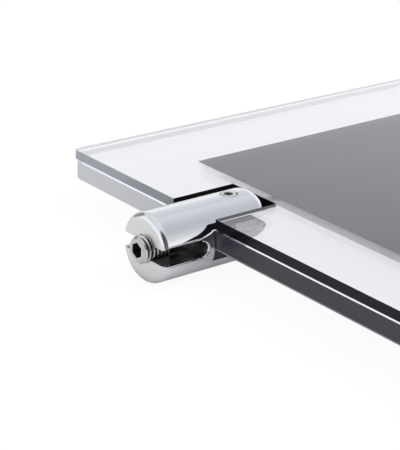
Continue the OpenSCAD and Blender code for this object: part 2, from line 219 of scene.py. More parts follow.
@dataclass(frozen=True)
class CastAcrylic(Finish):
    """Cast acrylic sheet: polished faces, and sawn outer edges polished less far.

    The faces mirror and bend light cleanly. The outer edges keep fine marks across the
    sheet, which scatter most of the light that reaches them from either side. Their colours
    are painted light, for the light that the sheet carries to them by inner reflection.

    Attributes:
        long_edge_painted_light: The colour of the painted light that a long edge scatters.
        taped_edge_painted_light: The same beside the edge tape, between the clamps.
        short_edge_painted_light: The same for a short edge.
        tint: The colour of the sheet.
        edge_clear: The share of the light that still passes an edge straight.
        edge_roughness: The roughness of an edge.
        saw_pitch: The size of the marks.
        inward: The share of the scattered light that crosses a long edge.
        short_inward: The same for a short edge.
        reach: How far the sawn edges are from the middle, along X and Y.
        tape_x: How far from the middle the edge tape reaches.
        refraction: The refractive index of acrylic.
    """

    long_edge_painted_light: str = "#A8ADB5"
    taped_edge_painted_light: str = "#B4B4BA"
    short_edge_painted_light: str = "#E6E6E8"
    tint: str = "#FAFAFC"
    edge_clear: float = 0.1
    edge_roughness: float = 0.12
    saw_pitch: float = 0.8
    inward: float = 0.5
    short_inward: float = 0.95
    reach: Point = (174.6, 131.1, 0.0)
    tape_x: float = 112.0
    refraction: float = 1.49

    def edge_masks(self, tree: Tree) -> list[Node]:
        """Adds masks: 1 on all outer edges, 1 at the short ones, and 1 past the tape.

        Args:
            tree: The node tree.

        Returns:
            The masks, in that order.
        """
        wall = add_node(tree, "MapRange", {"Value": self.facing_up(tree)},
                        {"From Min": FACE_ON, "From Max": UPRIGHT})
        past = add_node(tree, "VectorMath:SUBTRACT", [self.from_middle(tree)],
                        {1: [r * MM for r in self.reach]})
        sides = add_node(tree, "SeparateXYZ", [past])
        x, y = sides.outputs["X"], sides.outputs["Y"]
        most = add_node(tree, "Math:MAXIMUM", [x, y])
        outer, short, bare = [
            add_node(tree, "Math:GREATER_THAN", [value], {1: limit * MM})
            for value, limit in ((most, 0.0), (x, 0.0), (x, self.tape_x - self.reach[0]))]
        return [add_node(tree, "Math:MULTIPLY", [wall, outer]), short, bare]

    def surface(self, tree: Tree) -> Node:
        """Adds clear acrylic whose outer edges scatter painted light.

        Args:
            tree: The node tree.

        Returns:
            The last shader.
        """
        edge, short, bare = self.edge_masks(tree)
        marks = self.grain(tree, self.saw_pitch, stretch=(1.0, 1.0, 0.05))
        rough = add_node(tree, "Math:MULTIPLY",
                         [edge, self.varied(tree, marks, self.edge_roughness, spread=0.2)])
        height = add_node(tree, "Math:MULTIPLY", [edge, marks])
        clear = self.relieved(tree, {"Roughness": rough},
                              {"Base Color": linear(self.tint), "IOR": self.refraction,
                               "Transmission Weight": 1.0},
                              height, depth=0.02, strength=0.15)
        both = add_node(tree, "Math:ADD", [short, bare])
        stretch = add_node(tree, "Math:MULTIPLY", [both], {1: 0.5})
        # The edges' colours are painted light, for the light that the sheet carries to them.
        colour = add_node(tree, "ValToRGB", [stretch],
                          {"stops": {0.0: self.taped_edge_painted_light, 0.5: self.long_edge_painted_light,
                                     1.0: self.short_edge_painted_light}})
        back = add_node(tree, "BsdfDiffuse", [colour])
        through = add_node(tree, "BsdfTranslucent", [colour])
        within = add_node(tree, "MapRange", {"Value": short},
                          {"To Min": self.inward, "To Max": self.short_inward})
        haze = add_node(tree, "MixShader", [within, back, through])
        share = add_node(tree, "Math:MULTIPLY", [edge], {1: 1 - self.edge_clear})
        return add_node(tree, "MixShader", [share, clear, haze])


@dataclass(frozen=True)
class GrainFinish(Finish):
    """An opaque finish with a fine grain: paper, plastic, film, tape or solder mask.

    Its real grain, of some hundredths of a millimetre, is too fine to show, so it is drawn
    as coarse as grain_size says.

    Attributes:
        low_colour: The colour in the hollows of the grain.
        colour: The colour on the grain.
        roughness: The mean roughness.
        grain_size: The size of the grain.
        depth: The height of the grain.
        gloss: The specular level.
    """

    low_colour: str
    colour: str
    roughness: float = 0.5
    grain_size: float = 1.0
    depth: float = 0.01
    gloss: float = 0.5

    # The noise's detail, its values at which the colours are full, how far the roughness
    # varies, and 1 for a metal.
    DETAIL, LOW, HIGH, SPREAD, METALLIC = 4.0, 0.35, 0.65, 0.15, 0.0

    def surface(self, tree: Tree) -> Node:
        """Adds a grained opaque surface.

        Args:
            tree: The node tree.

        Returns:
            The last shader.
        """
        noise = self.grain(tree, self.grain_size, self.DETAIL)
        tone = add_node(tree, "ValToRGB", [noise],
                        {"stops": {self.LOW: self.low_colour, self.HIGH: self.colour}})
        rough = self.varied(tree, noise, self.roughness, self.SPREAD)
        return self.relieved(tree, {"Base Color": tone, "Roughness": rough},
                             {"Specular IOR Level": self.gloss, "Metallic": self.METALLIC},
                             noise, self.depth)


@dataclass(frozen=True)
class CutRubber(GrainFinish):
    """Moulded rubber sheet, cut to shape, whose sides at its heel are painted dark as shade.

    Attributes:
        heel_shade_colour: The painted shade on the sides at the heel.
        heel_y: How far from the middle of the frame the heel starts.
    """

    heel_shade_colour: str = "#4A494C"
    heel_y: float = 124.0

    def surface(self, tree: Tree) -> Node:
        """Adds rubber with painted shade on its sides at its heel.

        Args:
            tree: The node tree.

        Returns:
            The last shader.
        """
        face = super().surface(tree)
        side = add_node(tree, "Math:LESS_THAN", [self.facing_up(tree)], {1: UPRIGHT})
        along = add_node(tree, "SeparateXYZ", [self.from_middle(tree)])
        heel = add_node(tree, "Math:GREATER_THAN", [along.outputs["Y"]],
                        {1: self.heel_y * MM})
        dark = add_node(tree, "Math:MULTIPLY", [side, heel])
        shaded_side = add_node(tree, "BsdfPrincipled", settings={
            "Base Color": linear(self.heel_shade_colour), "Roughness": self.roughness})
        return add_node(tree, "MixShader", [dark, face, shaded_side])


@dataclass(frozen=True)
class LiningTape(GrainFinish):
    """Black tape with a pale painted reflection on the side that faces into the cover.

    Attributes:
        painted_reflection_colour: The pale colour of the side that faces into the cover, as
        seen through it: a painted reflection.
        lean: How far from the middle of its notch a wall of tape is at least.
    """

    painted_reflection_colour: str = "#F4EAF4"
    lean: float = 4.0

    def surface(self, tree: Tree) -> Node:
        """Adds the tape, with a painted reflection where it faces away from its notch's
        middle.

        Args:
            tree: The node tree.

        Returns:
            The last shader.
        """
        tape = super().surface(tree)
        place = add_node(tree, "TexCoord")
        spot, facing = [add_node(tree, "SeparateXYZ", [place.outputs[name]]).outputs["X"]
                        for name in ("Object", "Normal")]
        side = add_node(tree, "Math:SIGN", [spot])
        reach = add_node(tree, "Math:ABSOLUTE", [spot])
        offset = add_node(tree, "Math:SUBTRACT", [reach], {1: CLAMP_X * MM})
        outward = add_node(tree, "Math:MULTIPLY", [side, facing])
        back = add_node(tree, "Math:MULTIPLY", [outward, offset])
        mask = add_node(tree, "Math:GREATER_THAN", [back], {1: self.lean * MM})
        # The pale back is a painted reflection.
        tone = add_node(tree, "ValToRGB", [mask],
                        {"stops": {0.0: self.low_colour, 1.0: self.painted_reflection_colour}})
        tree.links.new(tone.outputs["Color"], tape.inputs["Base Color"])
        return tape


@dataclass(frozen=True)
class MetalFinish(GrainFinish):
    """A bare or plated metal, whose grain is its tooling marks, dulled in their hollows."""

    roughness: float = 0.25
    grain_size: float = 0.4
    depth: float = 0.004

    DETAIL, HIGH, SPREAD, METALLIC = 3.0, 0.6, 0.3, 1.0


@dataclass(frozen=True)
class PolishedChrome(Finish):
    """Chrome-plated brass, buffed round it, faced at its outer end and dull in its bores.

    Attributes:
        colour: The colour of the mirror.
        face_colour: The colour of the faced end.
        jaw_shade_colour: The colour of the inner faces of the jaws, darker as painted shade.
        bore_shade_colour: The colour of the cable slot and its bore, darker as painted shade.
        bore_y: How far from the middle of the frame the cable slot starts.
        face_y: How far from the middle of the frame the faced end starts.
        skin: The radius at which the buffed skin starts.
        crisp: Half the width of the change to the faced end.
        soft: The width of the other changes of zone.
        wave: The size of the faint waves that buffing leaves.
    """

    colour: str = "#EDEEF1"
    face_colour: str = "#F0F0EE"
    jaw_shade_colour: str = "#D2D0D0"
    bore_shade_colour: str = "#8E8E90"
    bore_y: float = 133.0
    face_y: float = 149.1
    skin: float = 8.4
    crisp: float = 0.05
    soft: float = 0.5
    wave: float = 3.0

    # The mask's value in each zone, and the roughness there.
    SKIN, FACE, JAW, SLOT = 0.0, 0.5, 0.75, 1.0
    ROUGHNESS = {SKIN: 0.05, FACE: 0.34, SLOT: 0.4}

    def zones(self, tree: Tree) -> Node:
        """Adds the mask that tells the skin, the faced end, the jaws and the slot apart.

        Args:
            tree: The node tree.

        Returns:
            The mask.
        """
        y = add_node(tree, "SeparateXYZ", [self.from_middle(tree)]).outputs["Y"]
        face = add_node(tree, "MapRange", {"Value": y},
                        {"From Min": (self.face_y - self.crisp) * MM,
                         "From Max": (self.face_y + self.crisp) * MM,
                         "To Max": self.FACE})
        bore = add_node(tree, "MapRange", {"Value": self.from_clamp_axis(tree)},
                        {"From Min": (self.skin + self.soft) * MM,
                         "From Max": self.skin * MM})
        body = add_node(tree, "Math:LESS_THAN", [face], {1: self.FACE / 2})
        depth = add_node(tree, "MapRange", {"Value": y},
                         {"From Min": self.bore_y * MM,
                          "From Max": (self.bore_y + self.soft) * MM,
                          "To Min": self.JAW, "To Max": self.SLOT})
        hollow = add_node(tree, "Math:MULTIPLY", [bore, depth])
        inner = add_node(tree, "Math:MULTIPLY", [hollow, body])
        return add_node(tree, "Math:MAXIMUM", [face, inner])

    def surface(self, tree: Tree) -> Node:
        """Adds a mirror with a satin outer end and dull bores, painted darker in its slots as
        shade.

        Args:
            tree: The node tree.

        Returns:
            The last shader.
        """
        zone = self.zones(tree)
        haze = self.grain(tree, self.wave)
        dull = add_node(tree, "ValToRGB", [zone],
                        {"stops": {at: (r, r, r, 1.0) for at, r in self.ROUGHNESS.items()}})
        rough = add_node(tree, "Math:MULTIPLY",
                         [dull, self.varied(tree, haze, mean=1.0, spread=0.3)])
        # The jaws and the bore are painted darker, as shade.
        tone = add_node(tree, "ValToRGB", [zone],
                        {"stops": {self.SKIN: self.colour, self.FACE: self.face_colour,
                                   self.JAW: self.jaw_shade_colour, self.SLOT: self.bore_shade_colour}})
        return self.relieved(tree, {"Base Color": tone, "Roughness": rough},
                             {"Metallic": 1.0}, haze, depth=0.05, strength=0.05)


@dataclass(frozen=True)
class CutThread(MetalFinish):
    """Plated steel with a cut thread along the clamp's axis, with painted shade in its roots.

    Attributes:
        root_shade_colour: The painted shade in the roots.
        root: The radius of the roots.
        crest: The radius of the crests.
        end_y: How far from the middle of the frame the thread ends.
    """

    root_shade_colour: str = "#4A4A4A"
    root: float = 3.2
    crest: float = 3.8
    end_y: float = 150.9

    def surface(self, tree: Tree) -> Node:
        """Adds metal painted darker towards the thread's roots, as shade.

        Args:
            tree: The node tree.

        Returns:
            The last shader.
        """
        metal = super().surface(tree)
        depth = add_node(tree, "MapRange", {"Value": self.from_clamp_axis(tree)},
                         {"From Min": self.root * MM, "From Max": self.crest * MM})
        along = add_node(tree, "SeparateXYZ", [self.from_middle(tree)])
        end = add_node(tree, "Math:GREATER_THAN", [along.outputs["Y"]], {1: self.end_y * MM})
        bright = add_node(tree, "Math:MAXIMUM", [depth, end])
        tone = add_node(tree, "ValToRGB", [bright],
                        {"stops": {0.0: self.root_shade_colour, 1.0: self.colour}})
        tree.links.new(tone.outputs["Color"], metal.inputs["Base Color"])
        return metal


@dataclass(frozen=True)
class DottedFilm(GrainFinish):
    """Clear film printed with fine opal dots, which thin out past the ends of the LED boards.

    Attributes:
        clear: The share of the film that its dots leave clear.
        end_clear: The same at its ends.
        less_shade_from: How far from the middle the film starts to get clearer, as painted
            light where the boards cast less shade.
        less_shade_to: How far from the middle it is clearest.
    """

    clear: float = 0.5
    end_clear: float = 0.93
    less_shade_from: float = 112.0
    less_shade_to: float = 142.0

    def surface(self, tree: Tree) -> Node:
        """Adds the dots' grained surface and clear film, clearer at the ends as painted light.

        Args:
            tree: The node tree.

        Returns:
            The last shader.
        """
        dots = super().surface(tree)
        sides = add_node(tree, "SeparateXYZ", [self.from_middle(tree)])
        # Clearer towards the ends, as painted light where the LED boards cast less shade.
        share = add_node(tree, "MapRange", {"Value": sides.outputs["X"]},
                         {"From Min": self.less_shade_from * MM, "From Max": self.less_shade_to * MM,
                          "To Min": self.clear, "To Max": self.end_clear})
        return add_node(tree, "MixShader", [share, dots, add_node(tree, "BsdfTransparent")])


@dataclass(frozen=True)
class WhiteTable(Finish):
    """Matt white laminate: white for the camera and glass, but with the object's shadow.

    Attributes:
        mirrored: The share of that white which mirrors show.
        strength: How bright the white is.
        shadowless: The share of the surface that takes no shadow.
    """

    mirrored: float = 0.12
    strength: float = 1.05
    shadowless: float = 0.88

    def surface(self, tree: Tree) -> Node:
        """Adds the laminate, with its own light where it is seen.

        Args:
            tree: The node tree.

        Returns:
            The last shader.
        """
        path = add_node(tree, "LightPath")
        mirrored = add_node(tree, "Math:MULTIPLY", [path.outputs["Is Glossy Ray"]],
                            {1: self.mirrored})
        direct = add_node(tree, "Math:MAXIMUM", [path.outputs["Is Camera Ray"], mirrored])
        seen = add_node(tree, "Math:MAXIMUM", [direct, path.outputs["Is Transmission Ray"]])
        mottle = add_node(tree, "TexNoise", settings={"Scale": 3.0, "Detail": 1.0})
        tone = add_node(tree, "ValToRGB", [mottle],
                        {"stops": {0.0: "#EAEAEA", 1.0: "#EEEEEE"}})
        plain = add_node(tree, "BsdfDiffuse", [tone])
        lift = add_node(tree, "Emission", settings={"Strength": self.strength})
        share = add_node(tree, "Math:MULTIPLY", [seen], {1: self.shadowless})
        return add_node(tree, "MixShader", [share, plain, lift])


class Finishes:
    """Every finish of the frame, with what each gives the eye."""

    # Clear with a cool tint. The cover's edges are painted a grey light, and the guide's a
    # nearly white one.
    cover_acrylic = CastAcrylic("polished_cast_acrylic", "clear_acrylic", "#CACED6")
    guide_acrylic = CastAcrylic("polished_cast_acrylic_guide", "clear_acrylic", "#ECEDF2",
                                inward=0.1)
    # A dark even print, so that most of the grey is the room mirrored in the cover.
    poster = GrainFinish("satin_printed_paper", "poster_paper", "#2A2936", "#2E2D3A", 0.7, 1.2,
                         gloss=0.1)
    # Milky and without a sheen.
    diffuser = GrainFinish("matte_opal_film", "diffuser_white", "#E9E9E9", "#F2F2F2", 0.7)
    reflector = DottedFilm("dot_printed_clear_film", "reflector_white", "#EAEAEC", "#F0F0F2",
                           0.6)
    # Navy black with a soft mirror, and the guide's one paler and duller.
    cover_seal = GrainFinish("glossy_black_edge_tape", "cover_seal", "#0E0E1A", "#121222",
                             0.25, 2.0, gloss=0.25)
    guide_seal = GrainFinish("satin_dark_grey_edge_tape", "guide_seal", "#3B3943", "#413F4A",
                             0.35, 2.0)
    # Black that takes all light, with a pale painted reflection on its back.
    lining = LiningTape("matte_black_lining_tape", "lining_black", "#060606", "#0A0A0A", 0.8,
                        0.6, gloss=0.2)
    # Bright steel with fine turning marks, and the warmer and smoother nickel.
    disc = MetalFinish("turned_bright_steel", "disc_steel", "#ABABA9", "#BDBDBB")
    magnet = MetalFinish("nickel_plated_magnet", "magnet_nickel", "#B9B6AE", "#C9C6BD", 0.18)
    # White lacquer, white matt cases with a bright yellow window, and black glaze.
    board = GrainFinish("white_solder_mask", "board_white", "#DEDEDA", "#E8E8E4", 0.35, 2.0)
    led_case = GrainFinish("moulded_white_led_case", "led_phosphor", "#E4E4E0", "#EEEEEA", 0.5,
                           0.5)
    phosphor = GrainFinish("cast_yellow_phosphor", "led_phosphor", "#D9B93A", "#E6CB55", 0.3,
                           0.4, 0.02)
    resistor = GrainFinish("glazed_black_ceramic", "resistor_black", "#0C0C0D", "#161617", 0.3,
                           0.4)
    # Silvery and a little cloudy.
    foil = MetalFinish("tinned_copper_foil", "tinned_strip", "#BEBEBC", "#D2D2D0", 0.3, 1.5)
    # Pale and dusty, with painted shade on the sides at the heel.
    pad = CutRubber("moulded_grey_silicone", "pad_rubber", "#F0EFF0", "#F6F5F6", 0.6, 0.5,
                    0.03, 0.4)
    brass = MetalFinish("turned_brass", "contact_brass", "#B8944A", "#D6B25E")
    # A clean mirror that shows the room, with a satin end.
    chrome = PolishedChrome("buffed_chrome_plate", "clamp_chrome")
    # Bright crests and roots painted dark as shade. The sockets are painted darker as shade,
    # and the small screws' ones lighter and green-grey, a painted reflection of their floor.
    screw = CutThread("nickel_plated_steel_thread", "screw_steel", "#C4C4C2", "#D8D8D6", 0.2,
                      0.5)
    small_screw = MetalFinish("nickel_plated_steel", "screw_steel", "#CACAC8", "#DCDCDA", 0.2,
                              0.5)
    socket = MetalFinish("steel_socket_painted_shade", "screw_steel", "#50565A", "#70767A", 0.45,
                         0.3)
    small_socket = MetalFinish("plated_socket_painted_reflection", "screw_steel", "#A9B0AC", "#C2C9C5",
                               0.5, 0.3)
    # Plain grey steel, and waxy off-white nylon.
    tip_steel = MetalFinish("turned_plain_steel", "tip_steel", "#7A7A78", "#8C8C8A", 0.35)
    tip_nylon = GrainFinish("turned_natural_nylon", "tip_nylon", "#E2E0D6", "#EBE9E0", 0.5,
                            0.4)


# Modelling


def take(piece: Piece) -> None:
    """Selects one piece alone and makes it active.

    Args:
        piece: The piece.
    """
    bpy.ops.object.select_all(action="DESELECT")
    piece.select_set(True)
    bpy.context.view_layer.objects.active = piece


def started(add: Callable[..., Any], name: str, **options: Any) -> Piece:
    """Adds a primitive and names it.

    Args:
        add: The primitive operator.
        name: The piece's name.
        options: The operator's options, with lengths in metres.

    Returns:
        The new piece, with its place applied.
    """
    add(**options)
    piece = bpy.context.active_object
    piece.name = piece.data.name = name
    bpy.ops.object.transform_apply(location=True, rotation=True, scale=True)
    return piece


def edit_all(piece: Piece, kind: str = "VERT") -> None:
    """Opens a piece in edit mode with all of it selected.

    Args:
        piece: The piece, which is left in edit mode.
        kind: "FACE" or "VERT".
    """
    take(piece)
    bpy.ops.object.mode_set(mode="EDIT")
    bpy.ops.mesh.select_mode(type=kind)
    bpy.ops.mesh.select_all(action="SELECT")


def pick_faces(piece: Piece, test: Callable[[bpy.types.MeshPolygon], bool]) -> None:
    """Selects the faces of a piece that pass a test, in edit mode.

    Args:
        piece: The piece, which is left in edit mode.
        test: What a face has to pass.
    """
    edit_all(piece, "FACE")
    bpy.ops.mesh.select_all(action="DESELECT")
    rest()
    for face in piece.data.polygons:
        face.select = test(face)
    bpy.ops.object.mode_set(mode="EDIT")


def rest() -> None:
    """Leaves edit mode."""
    bpy.ops.object.mode_set(mode="OBJECT")


def finish_with(piece: Piece, kind: str, **settings: Any) -> None:
    """Adds a modifier with its settings and applies it.

    Args:
        piece: The piece.
        kind: The modifier's type name.
        settings: The modifier's settings.
    """
    take(piece)
    modifier = piece.modifiers.new(kind.lower(), kind)
    for name, value in settings.items():
        setattr(modifier, name, value)
    bpy.ops.object.modifier_apply(modifier=modifier.name)


def cut(piece: Piece, tool: Piece, how: str = "DIFFERENCE") -> None:
    """Cuts a piece with another one, which is then deleted."""
    finish_with(piece, "BOOLEAN", object=tool, operation=how, solver="EXACT")
    bpy.data.objects.remove(tool)


def smoothed(piece: Piece, degrees: float = 35.0) -> Piece:
    """Merges a piece's doubles, turns its faces outwards and shades it smooth.

    Args:
        piece: The piece.
        degrees: The angle between faces from which an edge stays sharp.

    Returns:
        The same piece.
    """
    edit_all(piece)
    bpy.ops.mesh.remove_doubles(threshold=DOUBLE * MM)
    bpy.ops.mesh.normals_make_consistent(inside=False)
    rest()
    bpy.ops.object.shade_smooth_by_angle(angle=math.radians(degrees))
    return piece


def rimmed(piece: Piece, width: float, segments: int) -> Piece:
    """Rounds or chamfers the rims of an upright cylinder.

    Args:
        piece: The cylinder.
        width: How wide the round or chamfer is.
        segments: The rows of faces in it.

    Returns:
        The same piece.
    """
    pick_faces(piece, lambda f: abs(f.normal.z) > FACE_ON)
    bpy.ops.mesh.region_to_loop()
    bpy.ops.mesh.bevel(offset=width * MM, segments=segments, affect="EDGES")
    rest()
    return piece


def sunk(piece: Piece, inset: float, shift: Point, taper: Point) -> None:
    """Insets the selected face and pushes it in or out, narrowing.

    Args:
        piece: The piece, which is in edit mode.
        inset: How far the face is drawn in first.
        shift: How far it is pushed.
        taper: How much it is scaled along each axis.
    """
    bpy.ops.mesh.inset(thickness=inset * MM)
    bpy.ops.mesh.extrude_region_move(
        TRANSFORM_OT_translate={"value": [step * MM for step in shift]})
    bpy.ops.transform.resize(value=taper)


def paint_picked() -> None:
    """Gives the selected faces the active piece's second finish and leaves edit mode."""
    bpy.context.object.active_material_index = 1
    bpy.ops.object.material_slot_assign()
    rest()


def copied(piece: Piece, name: str, place: Matrix) -> Piece:
    """Copies a piece with its own mesh.

    Args:
        piece: The piece to copy.
        name: The copy's name.
        place: Where the copy goes, in metres.

    Returns:
        The copy, with its place in its mesh.
    """
    twin = piece.copy()
    twin.data = piece.data.copy()
    twin.name = twin.data.name = name
    bpy.context.scene.collection.objects.link(twin)
    twin.data.transform(place)
    return twin


def repeated(model: Piece, name: str, places: Sequence[Matrix]) -> Piece:
    """Sets copies of a model out, joins them and deletes the model.

    Args:
        model: The piece to copy.
        name: The name of the joined copies.
        places: Where the copies go, in metres.

    Returns:
        The copies as one piece.
    """
    twins = [copied(model, f"{name}_{i}", place) for i, place in enumerate(places)]
    bpy.data.objects.remove(model)
    bpy.ops.object.select_all(action="DESELECT")
    for twin in twins:
        twin.select_set(True)
    bpy.context.view_layer.objects.active = twins[0]
    bpy.ops.object.join()
    twins[0].name = twins[0].data.name = name
    return twins[0]


def traced(name: str, points: Sequence[tuple[float, float]]) -> Piece:
    """Draws an open profile in the XZ plane by extruding one vertex from point to point.

    Args:
        name: The piece's name.
        points: The profile's points as radius and height.

    Returns:
        The profile.
    """
    piece = started(bpy.ops.mesh.primitive_plane_add, name, size=MM)
    edit_all(piece)
    bpy.ops.mesh.merge(type="CENTER")
    x, z = points[0]
    bpy.ops.transform.translate(value=(x * MM, 0, z * MM))
    for (x0, z0), (x1, z1) in zip(points, points[1:]):
        bpy.ops.mesh.extrude_vertices_move(
            TRANSFORM_OT_translate={"value": ((x1 - x0) * MM, 0, (z1 - z0) * MM)})
    rest()
    return piece


def painted(piece: Piece, *finishes: Finish) -> Piece:
    """Gives a piece its finishes.

    Args:
        piece: The piece.
        finishes: Its finishes. The first one is on all faces that get no other.

    Returns:
        The same piece.
    """
    piece.data.materials.clear()
    for item in finishes:
        piece.data.materials.append(item.material())
    return piece


def dressed(finishes: dict[str, Finish]) -> None:
    """Gives CAD nodes their finishes.

    Args:
        finishes: The finishes by the nodes' names.
    """
    for node, item in finishes.items():
        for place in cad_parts[node].material_slots:
            place.material = item.material()


def set_out(piece: Piece, body: str, *nodes: str) -> None:
    """Lets a finished piece ride on a body and stand for CAD nodes."""
    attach(piece, body)
    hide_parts(*nodes)


# Sub-assemblies


class Corner(Enum):
    """A clamp's corner of the panel, as signs along X and Y."""

    FRONT_LEFT = (-1, -1)
    FRONT_RIGHT = (1, -1)
    REAR_LEFT = (-1, 1)
    REAR_RIGHT = (1, 1)

    @property
    def label(self) -> str:
        """The corner's name as the nodes have it."""
        return self.name.lower()


class Panel:
    """The clear sheets with what lies between and on them."""

    def dress(self) -> None:
        """Gives the sheets, films, seals and linings their finishes."""
        dressed({"front_cover": Finishes.cover_acrylic, "light_guide": Finishes.guide_acrylic,
                 "poster": Finishes.poster, "diffuser_film": Finishes.diffuser,
                 "reflector_film": Finishes.reflector,
                 "cover_edge_seals": Finishes.cover_seal,
                 "guide_edge_seals": Finishes.guide_seal, "notch_liners": Finishes.lining})


@dataclass
class CoverMagnets:
    """The magnets in the light guide and the steel discs in the cover."""

    x: float = 162.0
    y: float = 118.5
    diameter: float = 6.0
    magnet_z: float = 12.75
    magnet_t: float = 2.0
    disc_z: float = 14.75
    disc_t: float = 1.2
    rim: float = 0.2

    def slug(self, name: str, z: float, thickness: float) -> Piece:
        """Builds one disc with a rounded rim.

        Args:
            name: The piece's name.
            z: The height of its underside.
            thickness: Its thickness.

        Returns:
            The disc, on the Z axis.
        """
        piece = started(bpy.ops.mesh.primitive_cylinder_add, name, vertices=48,
                        radius=self.diameter / 2 * MM, depth=thickness * MM,
                        location=(0, 0, (z + thickness / 2) * MM))
        return smoothed(rimmed(piece, self.rim, segments=3))

    def build(self) -> None:
        """Builds and dresses the magnets and the discs, one at the middle of each border."""
        spots = ((self.x, 0), (-self.x, 0), (0, self.y), (0, -self.y))
        places = [Matrix.Translation((x * MM, y * MM, 0)) for x, y in spots]
        for name, z, thickness, metal, body, node in (
                ("cover_magnets", self.magnet_z, self.magnet_t, Finishes.magnet, "panel",
                 "guide_magnets"),
                ("cover_steel_discs", self.disc_z, self.disc_t, Finishes.disc, "cover",
                 "cover_discs")):
            slugs = repeated(self.slug(name, z, thickness), name, places)
            set_out(painted(slugs, metal), body, node)


@dataclass
class LedLine:
    """A row of LEDs on its board, with the resistors and strips."""

    count: int = 21
    pitch: float = 12.5
    size: Point = (3.5, 0.8, 2.8)
    board_face: float = 100.0
    z: float = 11.15
    window: float = 0.35
    window_depth: float = 0.25
    window_taper: float = 0.86

    def led(self) -> Piece:
        """Builds one LED, facing -Y, with a sunk phosphor window.

        Returns:
            The LED in the middle of the rear row.
        """
        l, t, h = self.size
        piece = started(bpy.ops.mesh.primitive_cube_add, "led", size=1,
                        scale=(l * MM, t * MM, h * MM),
                        location=(0, (self.board_face - t / 2) * MM, self.z * MM))
        painted(piece, Finishes.led_case, Finishes.phosphor)
        pick_faces(piece, lambda f: f.normal.y < -FACE_ON)
        sunk(piece, self.window, (0, self.window_depth, 0),
             (self.window_taper, 1, self.window_taper))
        paint_picked()
        return piece

    def row(self, name: str, turn: float) -> Piece:
        """Copies the LED along a row.

        Args:
            name: The row's name.
            turn: The row's turn about Z, in degrees.

        Returns:
            The row.
        """
        start = -(self.count - 1) * self.pitch / 2
        spin = Matrix.Rotation(math.radians(turn), 4, "Z")
        return repeated(self.led(), name,
                        [spin @ Matrix.Translation(((start + i * self.pitch) * MM, 0, 0))
                         for i in range(self.count)])

    def build(self) -> None:
        """Builds both rows and dresses the boards and conductors."""
        set_out(self.row("led_row_rear", 0), "panel", "leds_rear")
        set_out(self.row("led_row_front", 180), "panel", "leds_front")
        dressed({"led_board_front": Finishes.board, "led_board_rear": Finishes.board,
                 "board_resistors": Finishes.resistor, "feed_strips": Finishes.foil,
                 "cross_strips": Finishes.foil, "contact_pins": Finishes.brass})


